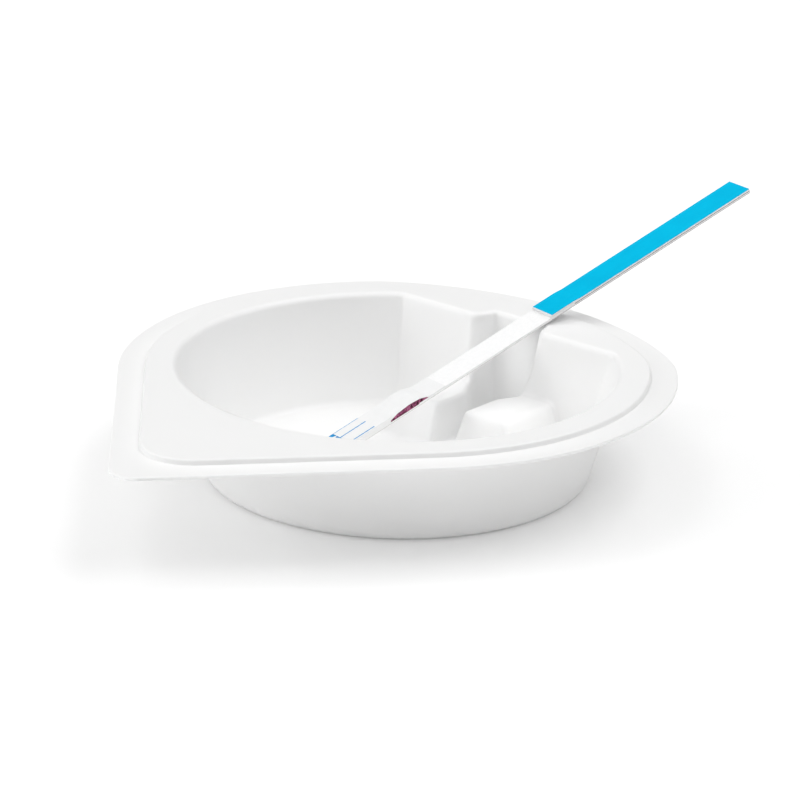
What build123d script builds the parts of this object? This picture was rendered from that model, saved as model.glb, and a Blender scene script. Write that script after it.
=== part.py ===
from build123d import *
import math
import os

# A vacuum-formed sample dish with a lateral flow test strip resting in it.
# Frame: +X runs from the peel-tab corner to the strip notch, +Z is up, and the
# origin is the centre of the dish's base on the surface that it stands on (mm).

# ---- dish: formed sheet ----
sheet = 0.6               # wall thickness of the formed sheet
lip_z = 17.08             # top of the outer sealing lip
step_h = 0.83             # raised seal plateau above the lip
plateau_z = lip_z + step_h
flange_x = 0.65           # centre of the flange circle
flange_r = 44.5           # flange circle
back_r = 51.8             # flatter arc of the flange behind the notch
back_apex_x = 42.9        # where that arc crosses the X axis
blend_r = 25.0            # blend between the circle and the flatter arc
tab_half_angle = 41.7     # half of the peel-tab corner's angle (degrees)
tab_tip_r = 4.2           # rounding of the tab's corner
plateau_inset = 4.2       # lip width outside the raised plateau
plateau_tip_r = 8.3       # plateau's rounding inside the tab
step_taper = 28.0         # slope of the step from vertical (degrees)

# ---- dish: bowl ----
bowl_top_r = 35.0         # inner radius at the plateau
floor_r = 30.0            # inner radius at the floor
floor_z = sheet           # inner floor level
floor_round = 0.6
chord_x = 28.3            # flat wall behind the strip, at the plateau
chord_slope = 0.285       # run of the flat wall per mm of height
crease_round = 1.1
rim_round = 0.9           # rounding where the plateau turns down into the bowl

# ---- dish: strip notch, finger pocket, channel and the two raised blocks ----
mid_y = -0.3              # middle line of the notch
notch_end_half = 5.7      # half width at its end wall, all at the plateau's level
notch_end_x = 31.7
notch_wide_x = 26.5       # where it is widest
notch_wide_half = 7.5
notch_start_x = 18.5      # where it runs out into the channel
notch_start_half = 2.9
notch_taper = 6.5         # draft (degrees)
notch_corner = 2.1
notch_side_r = 3.0        # soft bend in the notch's sides
jamb_round = 1.6          # corners where the notch opens through the flat wall
block_top_z = 7.3
block_front_x = (10.9, 13.4)  # front of the blocks at the floor and at their top
block_half = (15.3, 11.2)     # half of the width over both, at the floor and at their top
block_corner = (3.6, 2.0)     # corners in plan, at the floor and at their top
block_round = 0.9
channel_half = 2.75       # at the top of the blocks
channel_taper = 5.0
channel_front_x = 4.0

# ---- strip ----
strip_w = 5.0
strip_l = 99.5
strip_yaw = -12.7         # direction in plan (degrees)
foot_x, foot_y = -17.1, 8.22  # middle of the strip's lower end
gap = 0.02                # clearance at the two places where the strip rests
card_t = 0.30
membrane_t = 0.15
tape_t = 0.08
sample_tape_t = 0.07
membrane_s = (26.4, 60.0)
conj_s = (20.4, 28.4)
sample_tape_s = (8.0, 32.0)
absorbent_s = 54.95
handle_tape_s = 55.2
pad_t = 0.40              # absorbent pad
sample_top = 1.02         # top of the sample pad above the card's underside


def teardrop(inset, tip_r):
    """Flange outline: a circle drawn out to the tab's corner, flatter behind the notch."""
    r1, r2, rf = flange_r - inset, back_r - inset, blend_r
    x1, x2 = flange_x, back_apex_x - back_r
    half = math.radians(tab_half_angle)
    # rounded tip and the tangent points of the tab's straight sides
    apex = x1 - r1 / math.sin(half)
    xt = apex + tip_r / math.sin(half)
    tip_p = (xt - tip_r, 0)
    tip_t = (xt - tip_r * math.sin(half), tip_r * math.cos(half))
    side_t = (x1 - r1 * math.sin(half), r1 * math.cos(half))
    # blend arc between the circle and the flatter back arc
    d1, d2, gap_x = r1 - rf, r2 - rf, x2 - x1
    px = x1 + (d1 * d1 - d2 * d2 + gap_x * gap_x) / (2 * gap_x)
    py = math.sqrt(d1 * d1 - (px - x1) ** 2)
    a1 = math.atan2(py, px - x1)
    a2 = math.atan2(py, px - x2)
    t1 = (x1 + r1 * math.cos(a1), r1 * math.sin(a1))
    t2 = (x2 + r2 * math.cos(a2), r2 * math.sin(a2))
    am = (a1 + a2) / 2
    tm = (px + rf * math.cos(am), py + rf * math.sin(am))
    ac = (a1 + math.pi / 2 + half) / 2
    cm = (x1 + r1 * math.cos(ac), r1 * math.sin(ac))

    def low(q):
        return (q[0], -q[1])

    lines = [ThreePointArc(low(tip_t), tip_p, tip_t),
             Line(tip_t, side_t),
             ThreePointArc(side_t, cm, t1),
             ThreePointArc(t1, tm, t2),
             ThreePointArc(t2, (x2 + r2, 0), low(t2)),
             ThreePointArc(low(t2), low(tm), low(t1)),
             ThreePointArc(low(t1), low(cm), low(side_t)),
             Line(low(side_t), low(tip_t))]
    return make_face(lines)


def flat_at(z, sketch):
    return Pos(0, 0, z) * sketch


def soften(body, edges, radii, name):
    """Round the edges with the largest radius that leaves a sound solid."""
    box, vol, count = body.bounding_box(), body.volume, len(body.solids())
    for r in radii:
        try:
            out = fillet(edges, r)
        except Exception:
            continue
        grown = out.bounding_box()
        same = (grown.min - box.min).length + (grown.max - box.max).length < 0.6
        if out.is_valid and same and len(out.solids()) == count and abs(out.volume - vol) < 0.05 * vol:
            return out
    print("left sharp:", name)
    return body


def bowl(t):
    """Round bowl with its flat wall; t = 0 is the inside surface, t = sheet the outside."""
    slope = (bowl_top_r - floor_r) / (plateau_z - floor_z)
    grow = t * math.sqrt(1 + slope * slope)
    z0 = floor_z - t
    z1 = plateau_z
    r0 = floor_r + grow - slope * t
    r1 = bowl_top_r + grow
    cone = Pos(0, 0, (z0 + z1) / 2) * Cone(r0, r1, z1 - z0)
    shift = t * math.sqrt(1 + chord_slope * chord_slope)
    x_top = chord_x + shift
    x_bot = x_top - chord_slope * (z1 - z0)
    keep = make_face(Polyline((-60, z0 - 1), (x_bot - chord_slope, z0 - 1),
                              (x_top + chord_slope, z1 + 1), (-60, z1 + 1), close=True))
    slab = extrude(Plane.XZ * keep, 80, both=True)
    body = cone & slab
    crease = [e for e in body.edges() if abs(e.center().Y) > 8 and e.center().X > 15
              and abs(e.bounding_box().size.Z) > 10]
    body = soften(body, crease, (crease_round + t, 0.8 + t), "creases")
    low = [e for e in body.edges() if e.bounding_box().max.Z < z0 + 0.01]
    return soften(body, low, (floor_round + 0.8 * t, 0.4), "floor edge")


def pocket(t):
    """Notch through the flat wall, down to the floor, flaring out of the channel."""
    half = [(notch_start_x, notch_start_half), (notch_wide_x, notch_wide_half),
            (notch_end_x, notch_end_half)]
    pts = [(x, mid_y - y) for x, y in half] + [(x, mid_y + y) for x, y in reversed(half)]
    f = make_face(Polyline(*pts, close=True))
    if t > 0:
        f = offset(f, t, kind=Kind.INTERSECTION)
    f = fillet([v for v in f.vertices() if v.X > notch_end_x - 0.1], notch_corner + t)
    f = fillet([v for v in f.vertices() if abs(v.X - notch_wide_x) < 0.7 and abs(v.Y) > 6], notch_side_r + t)
    depth = plateau_z - (floor_z - t)
    return extrude(flat_at(plateau_z, f), -depth, taper=notch_taper)


def blocks(t):
    """Raised ground either side of the channel, before the channel is cut."""
    rise = block_top_z - floor_z
    kx = (block_front_x[1] - block_front_x[0]) / rise
    ky = (block_half[0] - block_half[1]) / rise
    dx = t * (math.sqrt(1 + kx * kx) - kx)
    dy = t * (math.sqrt(1 + ky * ky) - ky)
    levels = []
    for i, z in ((0, floor_z - t), (1, block_top_z - t)):
        x0, h = block_front_x[i] + dx, block_half[i] - dy
        f = Pos((x0 + 46) / 2, mid_y) * Rectangle(46 - x0, 2 * h)
        front = [v for v in f.vertices() if v.X < x0 + 0.1]
        levels.append(flat_at(z, fillet(front, block_corner[i] - 0.5 * t)))
    return loft(levels, ruled=True)


def channel(t):
    """Slot between the blocks, in line with the notch."""
    k = math.tan(math.radians(channel_taper))
    z0 = floor_z - t
    top = block_top_z + 1.5
    h1 = channel_half + t + k * (top - block_top_z)
    h0 = h1 - k * (top - z0)
    prof = make_face(Polyline((-h0, z0), (h0, z0), (h1, top), (-h1, top), close=True))
    x1 = notch_start_x + 5.0
    body = extrude(Plane.YZ * prof, x1 - channel_front_x)
    return Pos(channel_front_x, mid_y, 0) * body


def cavity(t):
    ground = blocks(t)
    top = [e for e in ground.edges() if e.bounding_box().min.Z > block_top_z - t - 0.01
           and e.center().X < 40]
    ground = soften(ground, top, (max(block_round - t, 0.25), 0.5, 0.25), "block edges")
    well = pocket(t)
    body = bowl(t) + well
    jamb = [e for e in body.edges()
            if 3.5 < abs(e.center().Y - mid_y) < 9.0 and e.bounding_box().size.Z > 1.0
            and chord_x - 6.5 < e.center().X < chord_x + 0.8
            and e.bounding_box().size.X > 0.18 * e.bounding_box().size.Z]
    body = soften(body, jamb, (max(jamb_round - t, 0.4), 1.0, 0.7, 0.4), "notch corners")
    low = well & (Pos(25, 0, block_top_z - t - 10) * Box(60, 60, 20))
    return body - ground + low + channel(t)


# ---- dish ----
lip = extrude(flat_at(lip_z - sheet, teardrop(0, tab_tip_r)), sheet)
# the step up to the seal plateau, eased at its foot and at its top
run = step_h * math.tan(math.radians(step_taper))
rise = [(-0.2, -0.55), (0.0, -0.42), (0.07, -0.20), (0.22, -0.03),
        (step_h - 0.22, run - 0.05), (step_h - 0.06, run + 0.13), (step_h, run + 0.42)]
plateau = loft([flat_at(lip_z + dz, teardrop(plateau_inset + d, plateau_tip_r)) for dz, d in rise],
               ruled=True)
under = loft([flat_at(lip_z - sheet + dz, teardrop(plateau_inset + d, plateau_tip_r - 0.4))
              for dz, d in ((-0.2, 0.45), (step_h, run + 0.65))], ruled=True)
flange = lip + plateau - under

inside = cavity(0)
outside = cavity(sheet)
# the bowl's rim is rounded on a plain slab, and the rounded mouth is then cut from the flange
split_z = plateau_z - 4.0
slab = Pos(0, 0, (split_z + plateau_z) / 2) * Box(130, 130, plateau_z - split_z)
ring = slab - inside
mouth = [e for e in ring.edges()
         if e.bounding_box().min.Z > plateau_z - 0.01
         and max(abs(e.bounding_box().max.X), abs(e.bounding_box().min.X)) < 50
         and max(abs(e.bounding_box().max.Y), abs(e.bounding_box().min.Y)) < 50]
ring = soften(ring, mouth, (rim_round, 0.7, 0.5, 0.3), "bowl rim")
lower = inside & (Pos(0, 0, split_z - 20) * Box(130, 130, 40))
dish = flange + outside - lower - (slab - ring)
dish = dish.solids().sort_by(SortBy.VOLUME)[-1]
cut = [e for e in dish.edges()
       if abs(e.center().Z - block_top_z) < 0.05 and e.bounding_box().size.Z < 0.05
       and abs(abs(e.center().Y - mid_y) - channel_half) < 0.8 and e.length > 3]
dish = soften(dish, cut, (0.6, 0.4, 0.2), "channel edges")

# ---- strip: found from where it rests ----
yaw = math.radians(strip_yaw)
v = (-math.sin(yaw), math.cos(yaw), 0.0)
# centre of the rounding along the notch's sill
sill_x = notch_end_x + rim_round * math.tan(math.radians(90 - notch_taper) / 2)
sill_z = plateau_z - rim_round


def axes(pitch):
    u = (math.cos(pitch) * math.cos(yaw), math.cos(pitch) * math.sin(yaw), math.sin(pitch))
    n = (-math.sin(pitch) * math.cos(yaw), -math.sin(pitch) * math.sin(yaw), math.cos(pitch))
    return u, n


def sill_gap(pitch):
    """Clearance between the card's underside and the rounded sill, at the nearer edge."""
    u, n = axes(pitch)
    p0 = (foot_x, foot_y, floor_z + gap)
    best = 1e9
    for side in (-0.5, 0.5):
        e = [p0[i] + side * strip_w * v[i] for i in range(3)]
        s = (sill_x - e[0]) / u[0]
        y = e[1] + s * u[1]
        d = sum(n[i] * (p0[i] - (sill_x, y, sill_z)[i]) for i in range(3))
        best = min(best, d - rim_round)
    return best


lo, hi = math.radians(10), math.radians(30)
for _ in range(60):
    m = (lo + hi) / 2
    if sill_gap(m) < gap:
        lo = m
    else:
        hi = m
pitch = hi
u, n = axes(pitch)
strip_plane = Plane(origin=(foot_x, foot_y, floor_z + gap), x_dir=u, z_dir=tuple(-c for c in v))


def layer(points):
    """A strip layer: its lengthwise section (along, above) drawn across the strip's width."""
    f = make_face(Polyline(*points, close=True))
    return extrude(strip_plane * f, strip_w / 2, both=True)


c1 = card_t
c2 = card_t + membrane_t
c3 = c2 + pad_t
c4 = c1 + pad_t
end = strip_l
card = layer([(0, 0), (end, 0), (end, c1), (0, c1)])
membrane = layer([(membrane_s[0], c1), (membrane_s[1], c1), (membrane_s[1], c2), (membrane_s[0], c2)])
conj_low = 0.56           # where the sample pad lies over the conjugate pad's lower end
crest = [(22.0, sample_top), (24.4, 1.26), (26.7, 1.12), (28.0, 0.70)]
conjugate = layer([(conj_s[0], c1), (membrane_s[0], c1), (membrane_s[0], c2), (conj_s[1], c2)]
                  + crest[::-1] + [(conj_s[0], conj_low)])
sample = layer([(0, c1), (conj_s[0], c1), (conj_s[0], conj_low), (22.0, sample_top), (0, sample_top)])
q = sample_tape_t
s0, s1 = sample_tape_s
sample_tape = layer([(s0, sample_top)] + crest + [(conj_s[1], c2), (s1, c2), (s1, c2 + q), (28.47, c2 + q),
                    (28.07, 0.70 + q * 0.9), (26.76, 1.12 + q), (24.4, 1.26 + q), (22.0, sample_top + q),
                    (s0, sample_top + q)])
absorbent = layer([(absorbent_s, c2), (membrane_s[1], c2), (membrane_s[1], c1), (end, c1), (end, c4),
                   (membrane_s[1] + 1.4, c4), (membrane_s[1], c3), (absorbent_s, c3)])
handle_tape = layer([(handle_tape_s, c3), (membrane_s[1], c3), (membrane_s[1] + 1.4, c4), (end, c4),
                     (end, c4 + tape_t), (membrane_s[1] + 1.4, c4 + tape_t), (membrane_s[1], c3 + tape_t), (handle_tape_s, c3 + tape_t)])

os.makedirs("parts", exist_ok=True)
nodes = {
    "dish": dish,
    "backing_card": card,
    "membrane": membrane,
    "conjugate_pad": conjugate,
    "sample_pad": sample,
    "absorbent_pad": absorbent,
    "sample_tape": sample_tape,
    "handle_tape": handle_tape,
}
for name, shape in nodes.items():
    export_step(shape, f"parts/{name}.step")
print("strip pitch", round(math.degrees(pitch), 2), "dish volume mm3", round(dish.volume, 1))
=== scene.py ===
import math
import bpy
import bmesh
import numpy as np
from mathutils import Matrix, Vector


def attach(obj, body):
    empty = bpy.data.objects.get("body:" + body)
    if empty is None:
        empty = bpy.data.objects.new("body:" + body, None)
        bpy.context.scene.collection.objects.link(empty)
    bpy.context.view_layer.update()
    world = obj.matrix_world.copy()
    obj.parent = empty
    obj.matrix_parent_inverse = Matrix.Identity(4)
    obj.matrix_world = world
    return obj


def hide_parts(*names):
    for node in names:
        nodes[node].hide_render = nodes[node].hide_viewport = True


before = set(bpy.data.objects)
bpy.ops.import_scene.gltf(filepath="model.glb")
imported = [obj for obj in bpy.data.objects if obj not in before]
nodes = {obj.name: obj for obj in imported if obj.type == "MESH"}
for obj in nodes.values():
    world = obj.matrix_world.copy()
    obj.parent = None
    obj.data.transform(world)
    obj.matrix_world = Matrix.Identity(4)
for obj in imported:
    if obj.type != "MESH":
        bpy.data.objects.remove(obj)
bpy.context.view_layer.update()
scene = bpy.context.scene
scene.view_settings.view_transform = "Standard"
scene.view_settings.look = "None"
scene.view_settings.exposure = 0.0
scene.view_settings.gamma = 1.0

# ---- strip frame (metres): foot of the strip and its three directions ----
YAW, PITCH = math.radians(-12.7), math.radians(19.05)
FOOT = Vector((-0.0171, 0.00822, 0.00062))
U = Vector((math.cos(PITCH) * math.cos(YAW), math.cos(PITCH) * math.sin(YAW), math.sin(PITCH)))
V = Vector((-math.sin(YAW), math.cos(YAW), 0.0))
N = U.cross(V)


# ---- node helpers ----
def new_mat(name):
    m = bpy.data.materials.new(name)
    m.use_nodes = True
    nt = m.node_tree
    nt.nodes.clear()
    out = nt.nodes.new("ShaderNodeOutputMaterial")
    b = nt.nodes.new("ShaderNodeBsdfPrincipled")
    nt.links.new(b.outputs["BSDF"], out.inputs["Surface"])
    return m, nt, b


def coords(nt):
    return nt.nodes.new("ShaderNodeTexCoord").outputs["Object"]


def noise(nt, vec, scale, detail=3.0, rough=0.55):
    n = nt.nodes.new("ShaderNodeTexNoise")
    n.inputs["Scale"].default_value = scale
    n.inputs["Detail"].default_value = detail
    n.inputs["Roughness"].default_value = rough
    nt.links.new(vec, n.inputs["Vector"])
    return n.outputs["Fac"]


def ramp(nt, fac, stops):
    r = nt.nodes.new("ShaderNodeValToRGB")
    el = r.color_ramp.elements
    while len(el) < len(stops):
        el.new(0.5)
    for e, (p, c) in zip(el, stops):
        e.position = p
        e.color = (c[0], c[1], c[2], 1.0)
    nt.links.new(fac, r.inputs["Fac"])
    return r.outputs["Color"]


def math_node(nt, op, a, b=None, c=None, clamp=False):
    n = nt.nodes.new("ShaderNodeMath")
    n.operation = op
    n.use_clamp = clamp
    for i, x in enumerate((a, b, c)):
        if x is None:
            continue
        if isinstance(x, (int, float)):
            n.inputs[i].default_value = float(x)
        else:
            nt.links.new(x, n.inputs[i])
    return n.outputs[0]


def maprange(nt, v, a, b, c, d):
    n = nt.nodes.new("ShaderNodeMapRange")
    for i, x in enumerate((a, b, c, d)):
        n.inputs[i + 1].default_value = x
    nt.links.new(v, n.inputs[0])
    return n.outputs[0]


def bump(nt, b, height, strength, dist):
    n = nt.nodes.new("ShaderNodeBump")
    n.inputs["Strength"].default_value = strength
    n.inputs["Distance"].default_value = dist
    nt.links.new(height, n.inputs["Height"])
    nt.links.new(n.outputs["Normal"], b.inputs["Normal"])


def mix(nt, fac, a, b):
    n = nt.nodes.new("ShaderNodeMix")
    n.data_type = "RGBA"
    for sock, x in ((n.inputs[0], fac), (n.inputs[6], a), (n.inputs[7], b)):
        if isinstance(x, tuple):
            sock.default_value = (x[0], x[1], x[2], 1.0)
        elif isinstance(x, (int, float)):
            sock.default_value = x
        else:
            nt.links.new(x, sock)
    return n.outputs[2]


def along(nt, vec, d, o):
    """Distance along a strip direction, in mm."""
    n = nt.nodes.new("ShaderNodeVectorMath")
    n.operation = "DOT_PRODUCT"
    nt.links.new(vec, n.inputs[0])
    n.inputs[1].default_value = tuple(d * 1000.0)
    return math_node(nt, "SUBTRACT", n.outputs["Value"], float(d.dot(o) * 1000.0))


# ---- materials ----
def formed_sheet():
    m, nt, b = new_mat("dish_white_sheet")
    p = coords(nt)
    mottle = noise(nt, p, 60.0, 3.0)
    fine = noise(nt, p, 1600.0, 2.0)
    wave = noise(nt, p, 140.0, 2.0)
    white = ramp(nt, mottle, [(0.3, (0.942, 0.942, 0.939)), (0.7, (0.952, 0.952, 0.949))])
    # painted light: the sheet round the notch and the channel is coloured paler, standing in for light that fills
    # these deep recesses
    xyz = nt.nodes.new("ShaderNodeSeparateXYZ")
    nt.links.new(p, xyz.inputs[0])
    off = math_node(nt, "ABSOLUTE", math_node(nt, "ADD", xyz.outputs[1], 0.0003))
    painted_recess_light = math_node(nt, "MULTIPLY", maprange(nt, xyz.outputs[0], 0.008, 0.012, 0.0, 1.0), maprange(nt, off, 0.0095, 0.0065, 0.0, 1.0))
    painted_recess_light = math_node(nt, "MULTIPLY", painted_recess_light, maprange(nt, xyz.outputs[2], 0.0172, 0.0160, 0.0, 1.0))
    nt.links.new(mix(nt, painted_recess_light, white, (0.988, 0.988, 0.986)), b.inputs["Base Color"])
    nt.links.new(maprange(nt, fine, 0.3, 0.7, 0.36, 0.46), b.inputs["Roughness"])
    h = math_node(nt, "ADD", math_node(nt, "MULTIPLY", wave, 0.8), math_node(nt, "MULTIPLY", fine, 0.2))
    bump(nt, b, h, 0.08, 0.0002)
    b.inputs["IOR"].default_value = 1.5
    b.inputs["Specular IOR Level"].default_value = 0.4
    b.inputs["Subsurface Weight"].default_value = 0.10
    b.inputs["Subsurface Radius"].default_value = (1.0, 0.97, 0.94)
    b.inputs["Subsurface Scale"].default_value = 0.0006
    return m


def fibre(name, dark, light, scale=900.0, rough=0.85, strength=0.35):
    m, nt, b = new_mat(name)
    p = coords(nt)
    a = noise(nt, p, scale, 4.0, 0.65)
    c = noise(nt, p, scale * 3.1, 2.0, 0.6)
    h = math_node(nt, "ADD", math_node(nt, "MULTIPLY", a, 0.65), math_node(nt, "MULTIPLY", c, 0.35))
    nt.links.new(ramp(nt, h, [(0.35, dark), (0.62, light)]), b.inputs["Base Color"])
    nt.links.new(maprange(nt, c, 0.3, 0.7, rough - 0.05, rough + 0.05), b.inputs["Roughness"])
    bump(nt, b, h, strength, 0.00006)
    b.inputs["Specular IOR Level"].default_value = 0.2
    return m


def card_mat():
    m, nt, b = new_mat("card_white")
    p = coords(nt)
    a = noise(nt, p, 500.0, 3.0)
    white = ramp(nt, a, [(0.3, (0.80, 0.805, 0.82)), (0.7, (0.86, 0.865, 0.87))])
    # the cut edge is painted lighter than the top to stand in for fill light, and greyer under the handle; the dark
    # line along its foot is a painted contact shadow
    side, high = cut_edge(nt, p)
    handle = math_node(nt, "GREATER_THAN", along(nt, p, U, FOOT), 55.0)
    foot = math_node(nt, "LESS_THAN", high, 0.08)
    line = mix(nt, handle, (0.66, 0.64, 0.62), (0.36, 0.34, 0.34))
    edge = mix(nt, foot, mix(nt, handle, (0.95, 0.95, 0.945), (0.86, 0.85, 0.86)), line)
    nt.links.new(mix(nt, side, white, edge), b.inputs["Base Color"])
    nt.links.new(maprange(nt, a, 0.3, 0.7, 0.45, 0.6), b.inputs["Roughness"])
    bump(nt, b, a, 0.15, 0.00004)
    return m


def cut_edge(nt, p):
    """1 on the strip's long cut edges, and the height above the card's underside in mm."""
    w = math_node(nt, "ABSOLUTE", along(nt, p, V, FOOT))
    return math_node(nt, "GREATER_THAN", w, 2.49), along(nt, p, N, FOOT)


def wick_mat():
    """White wicking pad whose cut edge is painted dark along the card, as the shadow in the gap between the pad and
    the card.
    """
    m, nt, b = new_mat("absorbent_pad_fibre")
    p = coords(nt)
    a = noise(nt, p, 900.0, 4.0, 0.65)
    c = noise(nt, p, 2800.0, 2.0, 0.6)
    white = ramp(nt, a, [(0.35, (0.80, 0.805, 0.81)), (0.62, (0.90, 0.90, 0.90))])
    side, high = cut_edge(nt, p)
    rag = math_node(nt, "MULTIPLY", math_node(nt, "SUBTRACT", c, 0.5), 0.10)
    # painted shadow: the lowest 0.42 mm of the cut edge, with a ragged top
    low = math_node(nt, "LESS_THAN", math_node(nt, "ADD", high, rag), 0.42)
    nt.links.new(mix(nt, math_node(nt, "MULTIPLY", side, low), white, (0.27, 0.24, 0.24)), b.inputs["Base Color"])
    nt.links.new(maprange(nt, c, 0.3, 0.7, 0.80, 0.90), b.inputs["Roughness"])
    bump(nt, b, a, 0.35, 0.00006)
    b.inputs["Specular IOR Level"].default_value = 0.2
    return m


def plum_mat():
    m, nt, b = new_mat("conjugate_plum")
    p = coords(nt)
    a = noise(nt, p, 1700.0, 3.0, 0.7)
    c = noise(nt, p, 2600.0, 2.0, 0.7)
    base = ramp(nt, a, [(0.40, (0.030, 0.001, 0.010)), (0.50, (0.205, 0.024, 0.086)), (0.60, (0.42, 0.112, 0.235))])
    speck = maprange(nt, c, 0.64, 0.72, 0.0, 1.0)
    nt.links.new(mix(nt, speck, base, (0.62, 0.42, 0.52)), b.inputs["Base Color"])
    nt.links.new(maprange(nt, c, 0.3, 0.7, 0.75, 0.95), b.inputs["Roughness"])
    bump(nt, b, a, 0.5, 0.0001)
    return m


def handle_mat():
    m, nt, b = new_mat("handle_blue_film")
    p = coords(nt)
    a = noise(nt, p, 220.0, 3.0)
    c = noise(nt, p, 2200.0, 2.0)
    nt.links.new(ramp(nt, a, [(0.3, (0.0, 0.465, 0.745)), (0.7, (0.0, 0.505, 0.785))]), b.inputs["Base Color"])
    nt.links.new(maprange(nt, c, 0.3, 0.7, 0.42, 0.54), b.inputs["Roughness"])
    bump(nt, b, c, 0.1, 0.00003)
    b.inputs["Specular IOR Level"].default_value = 0.02
    return m


def sample_tape_mat():
    m, nt, b = new_mat("sample_tape_print")
    p = coords(nt)
    s = along(nt, p, U, FOOT)
    w = along(nt, p, V, FOOT)
    rag = math_node(nt, "MULTIPLY", math_node(nt, "SUBTRACT", noise(nt, p, 2500.0, 3.0), 0.5), 0.16)
    total = None
    for w0, s_lo, s_hi, half, head in ((2.44, 12.0, 17.6, 0.06, 12.35), (0.48, 12.0, 17.6, 0.11, 12.35), (-2.04, 9.5, 17.45, 0.11, None)):
        d = math_node(nt, "ABSOLUTE", math_node(nt, "SUBTRACT", w, w0))
        d = math_node(nt, "ADD", d, rag)
        line = math_node(nt, "MULTIPLY", math_node(nt, "LESS_THAN", d, half),
                         math_node(nt, "MULTIPLY", math_node(nt, "GREATER_THAN", s, s_lo), math_node(nt, "LESS_THAN", s, s_hi)))
        total = line if total is None else math_node(nt, "MAXIMUM", total, line)
        if head:
            lim = math_node(nt, "MULTIPLY", math_node(nt, "SUBTRACT", s, head - 2.4), 0.39)
            tri = math_node(nt, "MULTIPLY", math_node(nt, "LESS_THAN", d, lim), math_node(nt, "LESS_THAN", s, head))
            total = math_node(nt, "MAXIMUM", total, tri)
    a = noise(nt, p, 700.0, 3.0)
    white = ramp(nt, a, [(0.3, (0.865, 0.868, 0.870)), (0.7, (0.890, 0.892, 0.893))])
    nt.links.new(mix(nt, total, white, (0.0, 0.27, 0.62)), b.inputs["Base Color"])
    nt.links.new(maprange(nt, a, 0.3, 0.7, 0.34, 0.46), b.inputs["Roughness"])
    bump(nt, b, a, 0.12, 0.00004)
    b.inputs["Specular IOR Level"].default_value = 0.15
    return m


MATS = {
    "dish": formed_sheet(),
    "backing_card": card_mat(),
    "membrane": fibre("membrane_white", (0.90, 0.902, 0.904), (0.95, 0.95, 0.95), 1500.0, 0.8, 0.15),
    "conjugate_pad": plum_mat(),
    "sample_pad": fibre("sample_pad_fibre", (0.94, 0.94, 0.937), (0.98, 0.98, 0.977)),
    "absorbent_pad": wick_mat(),
    "sample_tape": sample_tape_mat(),
    "handle_tape": handle_mat(),
}
for name, mat in MATS.items():
    o = nodes[name]
    o.data.materials.clear()
    o.data.materials.append(mat)

# ---- the formed sheet: its upper surface is found from rounded solids, then given its thickness ----
def r_join(a, b, r):
    """Union of two regions (negative inside) with a rounded inner corner of radius r."""
    return np.maximum(r, np.minimum(a, b)) - np.hypot(np.maximum(r - a, 0), np.maximum(r - b, 0))


def r_meet(a, b, r):
    """Overlap of two regions (negative inside) with its corner rounded to radius r."""
    return np.minimum(-r, np.maximum(a, b)) + np.hypot(np.maximum(r + a, 0), np.maximum(r + b, 0))


def ease(x, a, b):
    t = np.clip((x - a) / (b - a), 0, 1)
    return t * t * (3 - 2 * t)


LIP_Z, STEP_H, SHEET = 17.08, 0.83, 0.60
TOP_Z = LIP_Z + STEP_H
FLOOR_Z = 0.60
MID_Y = -0.3
MOUTH_X, MOUTH_Y = 1.0, 0.3   # the bowl's axis at its mouth
BASE_X, BASE_Y = 0.35, -0.40  # and at its floor
AL = math.radians(41.7)


def outline(x, y, inset, tip_r):
    """Flange outline, negative inside, in mm."""
    r1, r2, xb = 44.5 - inset, 51.8 - inset, 42.9 - 51.8
    ay = np.abs(y)
    circ = np.hypot(x - 0.65, y) - r1
    apex = 0.65 - r1 / math.sin(AL)
    line = -(math.sin(AL) * (x - apex) - math.cos(AL) * ay)
    tab = ((x - 0.65) * math.cos(AL) + ay * math.sin(AL)) < 0
    f = np.where(tab & (x < 0), line, circ)
    xt = apex + tip_r / math.sin(AL)
    tip = (x < xt) & (ay * math.tan(AL) < (xt - x))
    f = np.where(tip, np.hypot(x - xt, y) - tip_r, f)
    back = np.hypot(x - xb, y) - r2
    d = np.abs(f - back)
    soft = np.maximum(f, back) + np.maximum(0.4 - d, 0) ** 2 / 1.6
    return np.where(x > 0, soft, f)


def step_line():
    """Section of the steep step: distance inside its foot, and height."""
    lean, r_foot, r_top = math.radians(76.0), 0.14, 0.36
    a = np.linspace(0, lean, 9)
    half = math.tan(lean / 2)
    foot = (-r_foot * half + r_foot * np.sin(a), r_foot * (1 - np.cos(a)))
    far = STEP_H / math.tan(lean) + r_top * half
    head = (far - r_top * np.sin(a[::-1]), STEP_H - r_top * (1 - np.cos(a[::-1])))
    return np.concatenate([foot[0], head[0]]), np.concatenate([foot[1], head[1]])


STEP_D, STEP_Z = step_line()


def flange_height(x, y, under=False):
    e = outline(x, y, 4.2, 8.3)
    if under:
        return LIP_Z + STEP_H * ease(-e, 0.2, 1.3)
    return LIP_Z + np.interp(-e, STEP_D, STEP_Z)


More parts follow.
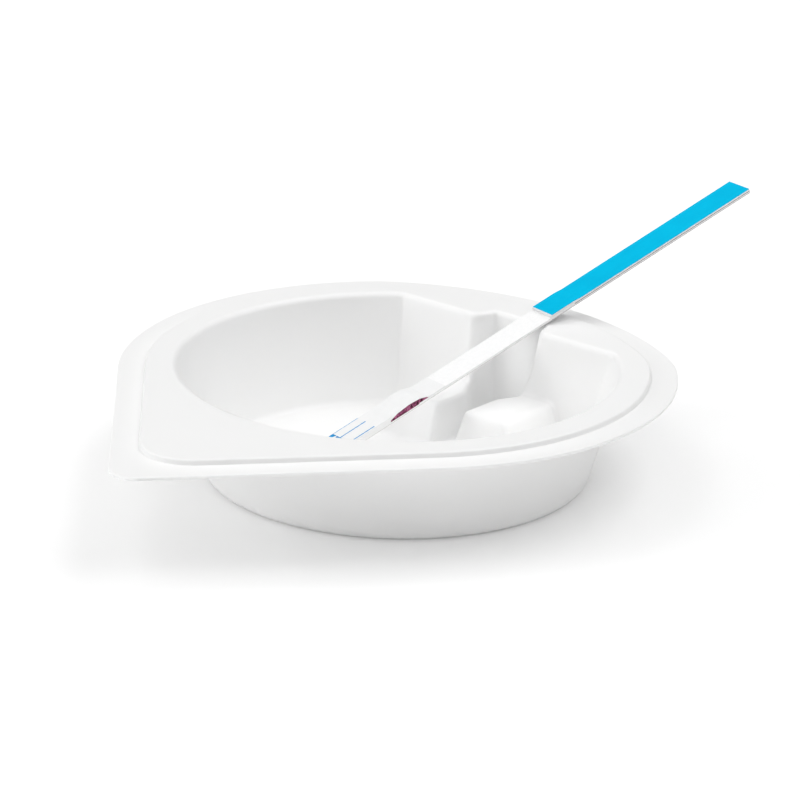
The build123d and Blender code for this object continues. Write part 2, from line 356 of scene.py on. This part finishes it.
def solid(x, y, z, h):
    """Negative in the air above the sheet, positive below its upper surface."""
    yy = np.abs(y - MID_Y)
    up = (z - FLOOR_Z) / (TOP_Z - FLOOR_Z)
    r = np.hypot(x - BASE_X - (MOUTH_X - BASE_X) * up, y - BASE_Y - (MOUTH_Y - BASE_Y) * up)
    cone = (r - (30.2 + 4.95 * up)) * 0.9607
    chord = (x - (28.3 - (0.20 + 0.085 * ease(y - MID_Y, -2.0, 2.0)) * (TOP_Z - z))) * 0.9617
    wall = r_meet(cone, chord, 0.22)
    bowl = r_meet(wall, FLOOR_Z - z, 0.8)
    front = (10.9 + 0.418 * (z - FLOOR_Z) - x) * 0.9226
    side = (yy - (15.3 - 0.597 * (z - FLOOR_Z))) * 0.859
    block = r_meet(r_meet(front, side, 1.0), z - 7.3, 0.75)
    air = r_meet(bowl, -block, 0.7)
    low = (TOP_Z - z) * 0.1139
    wide = 6.7 + 0.6 * ease(y - MID_Y, -2.0, 2.0)
    diag = (-0.4985 * (x - 26.5) + 0.8669 * (yy - wide) + low) * 0.9936
    flank = (0.3271 * (x - 26.5) + 0.945 * (yy - wide) + low) * 0.9936
    end = (x - 31.7 + low) * 0.9936
    well = r_meet(r_meet(diag, flank, 2.0), end, 0.4)
    chan = (np.abs(y + 0.45) - (2.65 - (7.3 - z) * 0.0875)) * 0.9962
    chan = np.maximum(np.maximum(chan, x - 25.0), 3.0 - x)
    well = np.maximum(well, 17.0 - x)
    cut = r_meet(r_join(well, chan, 0.6), FLOOR_Z - z, 0.55)
    air = np.maximum(r_join(air, cut, 0.75 + 0.85 * ease(z, 7.8, 10.5)), FLOOR_Z - z)
    return r_join(h - z, air, 0.80)


def sheet_height(x, y, under=False):
    h = flange_height(x, y, under)
    lo = np.full_like(x, -0.5)
    hi = np.full_like(x, 18.5)
    for _ in range(34):
        m = (lo + hi) / 2
        below = solid(x, y, m, h) > 0
        lo = np.where(below, m, lo)
        hi = np.where(below, hi, m)
    return (lo + hi) / 2


def sheet_normal(x, y, z, under=False):
    e = 2e-3

    def at(dx, dy, dz):
        return solid(x + dx, y + dy, z + dz, flange_height(x + dx, y + dy, under))

    gx, gy, gz = at(e, 0, 0) - at(-e, 0, 0), at(0, e, 0) - at(0, -e, 0), at(0, 0, e) - at(0, 0, -e)
    n = -np.stack([gx, gy, gz], -1)
    return n / np.maximum(np.linalg.norm(n, axis=-1, keepdims=True), 1e-12)


def spread(density, count, closed):
    """Places samples so that each holds the same share of the density."""
    x, d = density
    c = np.concatenate([[0], np.cumsum((d[1:] + d[:-1]) / 2 * np.diff(x))])
    n = count if closed else count - 1
    return np.interp(np.arange(count) / n * c[-1], c, x)


def make_dish():
    n_ray, n_out, n_in = 620, 98, 42
    th = np.linspace(-math.pi, math.pi, 7201)
    a = np.abs(th)
    dens = 1.0 + 2.0 * (1 - ease(a, 1.0, 1.3)) + 7.0 * ease(a, math.pi - 0.10, math.pi - 0.04)
    th = spread((th, dens), n_ray, True)
    ct, st = np.cos(th), np.sin(th)
    lo, hi = np.full(n_ray, 20.0), np.full(n_ray, 75.0)
    for _ in range(44):
        m = (lo + hi) / 2
        ins = outline(ct * m, st * m, 0.0, 4.2) < 0
        lo = np.where(ins, m, lo)
        hi = np.where(ins, hi, m)
    rim = (lo + hi) / 2
    # fine profile along each ray, and samples gathered where it bends
    fine = np.linspace(0, 1, 1400)
    R = 1.5 + (rim[:, None] - 0.12 - 1.5) * fine[None, :]
    Z = sheet_height(R * ct[:, None], R * st[:, None])
    dr, dz = np.gradient(R, axis=1), np.gradient(Z, axis=1)
    ds = np.hypot(dr, dz)
    ang = np.arctan2(dz, dr)
    bend = np.abs(np.gradient(ang, axis=1)) / ds
    ker = np.exp(-np.linspace(-2, 2, 21) ** 2)
    ker /= ker.sum()
    pad = np.pad(bend, ((0, 0), (10, 10)), mode="edge")
    bend = sum(w * pad[:, i:i + bend.shape[1]] for i, w in enumerate(ker))
    den = (0.13 + np.minimum(bend, 4.0)) * ds
    den_s = den.copy()
    for k in (1, 2, 3):
        den_s += np.roll(den, k, 0) + np.roll(den, -k, 0)
    cum = np.concatenate([np.zeros((n_ray, 1)), np.cumsum((den_s[:, 1:] + den_s[:, :-1]) / 2, axis=1)], 1)

    def grid(count, under=False):
        rr = np.empty((n_ray, count))
        for i in range(n_ray):
            rr[i] = np.interp(np.arange(count) / (count - 1) * cum[i, -1], cum[i], R[i])
        x, y = rr * ct[:, None], rr * st[:, None]
        z = sheet_height(x, y, under)
        return np.stack([x, y, z], -1), sheet_normal(x, y, z, under)

    top, top_n = grid(n_out)
    bot, bot_n = grid(n_in, True)
    # thickness: square to the wall in the bowl, straight down under the flat flange
    flat = np.hypot(bot[..., 0], bot[..., 1]) > 37.6
    down = np.where(flat[..., None], np.array([0.0, 0.0, 1.0]), bot_n)
    bot = bot - down * SHEET
    bot[:, -1, 2] = LIP_Z - SHEET
    verts, norms = [], []

    def add(p, n):
        i0 = sum(len(q) for q in verts)
        verts.append(p)
        norms.append(n)
        return np.arange(i0, i0 + len(p))

    loops = [add(top[:, j], top_n[:, j]) for j in range(n_out)]
    edge_n = np.stack([ct, st, np.zeros(n_ray)], -1)
    for z, nz in ((LIP_Z - 0.10, 0.5), (LIP_Z - SHEET + 0.10, -0.5)):
        p = np.stack([rim * ct, rim * st, np.full(n_ray, z)], -1)
        n = edge_n + np.array([0, 0, nz])
        loops.append(add(p, n / np.linalg.norm(n, axis=1, keepdims=True)))
    loops += [add(bot[:, j], -bot_n[:, j]) for j in range(n_in - 1, -1, -1)]
    c_top = add(np.array([[0.0, 0.0, FLOOR_Z]]), np.array([[0.0, 0.0, 1.0]]))[0]
    c_bot = add(np.array([[0.0, 0.0, 0.0]]), np.array([[0.0, 0.0, -1.0]]))[0]
    faces = []
    for i in range(n_ray):
        k = (i + 1) % n_ray
        faces.append((int(c_top), int(loops[0][i]), int(loops[0][k])))
        for p, q in zip(loops[:-1], loops[1:]):
            faces.append((int(p[i]), int(q[i]), int(q[k]), int(p[k])))
        faces.append((int(loops[-1][i]), int(c_bot), int(loops[-1][k])))
    V3 = np.concatenate(verts) / 1000.0
    me = bpy.data.meshes.new("dish_formed")
    me.from_pydata(V3.tolist(), [], faces)
    me.update()
    me.polygons.foreach_set("use_smooth", [True] * len(me.polygons))
    me.normals_split_custom_set_from_vertices(np.concatenate(norms).tolist())
    o = bpy.data.objects.new("dish_formed", me)
    scene.collection.objects.link(o)
    return o


dish = make_dish()
dish.data.materials.append(MATS["dish"])
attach(dish, "root")
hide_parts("dish")

# ---- floor ----
bpy.ops.mesh.primitive_plane_add(size=6.0, location=(0, 0, -0.00002))
floor = bpy.context.object
floor.name = "floor"
fm, nt, b = new_mat("floor_pale")
p = coords(nt)
g = noise(nt, p, 30.0, 3.0)
nt.links.new(ramp(nt, g, [(0.3, (0.975, 0.975, 0.975)), (0.7, (0.98, 0.98, 0.98))]), b.inputs["Base Color"])
b.inputs["Roughness"].default_value = 0.75
b.inputs["Specular IOR Level"].default_value = 0.1
b.inputs["Emission Color"].default_value = (1.0, 1.0, 1.0, 1.0)
b.inputs["Emission Strength"].default_value = 0.07
floor.data.materials.append(fm)

# ---- camera ----
S, PHI, EL, ROLL = 0.0445, math.radians(50.3068), math.radians(19.8773), math.radians(-1.1825)
F_PX, DIST, U0, V0, HF = 4500.0, 16.085, 398.0922, 369.0125, 0.3838
ax_a = Vector((math.cos(PHI), math.sin(PHI), 0))
ax_c = Vector((-math.sin(PHI), math.cos(PHI), 0))


def to_cad_dir(d):
    return Vector((d.dot(ax_a), d.dot(ax_c), d.z))


right = Vector((1, 0, 0))
fwd = Vector((0, math.cos(EL), -math.sin(EL)))
up = Vector((0, math.sin(EL), math.cos(EL)))
xc, yc = (U0 - 400) * DIST / F_PX, -(V0 - 400) * DIST / F_PX
cr, sr = math.cos(ROLL), math.sin(ROLL)
px, py = -(cr * xc + sr * yc), (sr * xc - cr * yc)
pos = Vector((0, 0, HF)) + right * px + up * py - fwd * DIST
cam_r, cam_u, cam_b = right * cr - up * sr, right * sr + up * cr, -fwd
cam_pos = to_cad_dir(pos) * S + Vector((0.00065, 0, 0))
rot = Matrix([to_cad_dir(cam_r), to_cad_dir(cam_u), to_cad_dir(cam_b)]).transposed()
cam_data = bpy.data.cameras.new("camera")
cam_data.sensor_width = 36.0
cam_data.lens = F_PX / 800.0 * 36.0
cam_data.clip_start = 0.01
cam_data.clip_end = 20.0
cam = bpy.data.objects.new("camera", cam_data)
scene.collection.objects.link(cam)
cam.matrix_world = Matrix.Translation(cam_pos) @ rot.to_4x4()
scene.camera = cam


# ---- light: directions are given in the picture (right, away, up) and turned into the part's frame ----
def pic_point(r, a, z):
    return to_cad_dir(Vector((r, a, z)))


def area(name, at, look, size, power):
    d = bpy.data.lights.new(name, "AREA")
    d.shape = "RECTANGLE"
    d.size, d.size_y = size
    d.energy = power
    o = bpy.data.objects.new(name, d)
    scene.collection.objects.link(o)
    o.location = pic_point(*at)
    o.rotation_euler = (pic_point(*look) - o.location).to_track_quat("-Z", "Y").to_euler()
    return o


for name, at, size, power in (
    ("panel_top", (0, 0, 2.0), 2.0, 3.2),
    ("panel_wide", (0, 0, 1.6), 3.2, 7.1),
    ("panel_left", (-1.3, 0, 1.7), 2.0, 16.0),
    ("panel_right", (1.3, 0, 1.7), 2.0, 20.2),
    ("panel_front", (0, -1.3, 1.7), 2.0, 8.0),
    ("panel_back", (0, 1.3, 1.7), 2.0, 7.0),
    ("soft_right_back", (1.2, 1.2, 1.8), 1.4, 4.4),
    ("low_left", (-2.2, 0, 0.7), 1.2, 15.6),
    ("low_front", (0, -2.2, 0.6), 1.2, 5.4),
):
    area(name, at, (0, 0, 0.01), (size, size), power)
world = bpy.data.worlds.new("studio")
world.use_nodes = True
world.node_tree.nodes["Background"].inputs[0].default_value = (1.0, 1.0, 1.0, 1.0)
world.node_tree.nodes["Background"].inputs[1].default_value = 0.0
scene.world = world
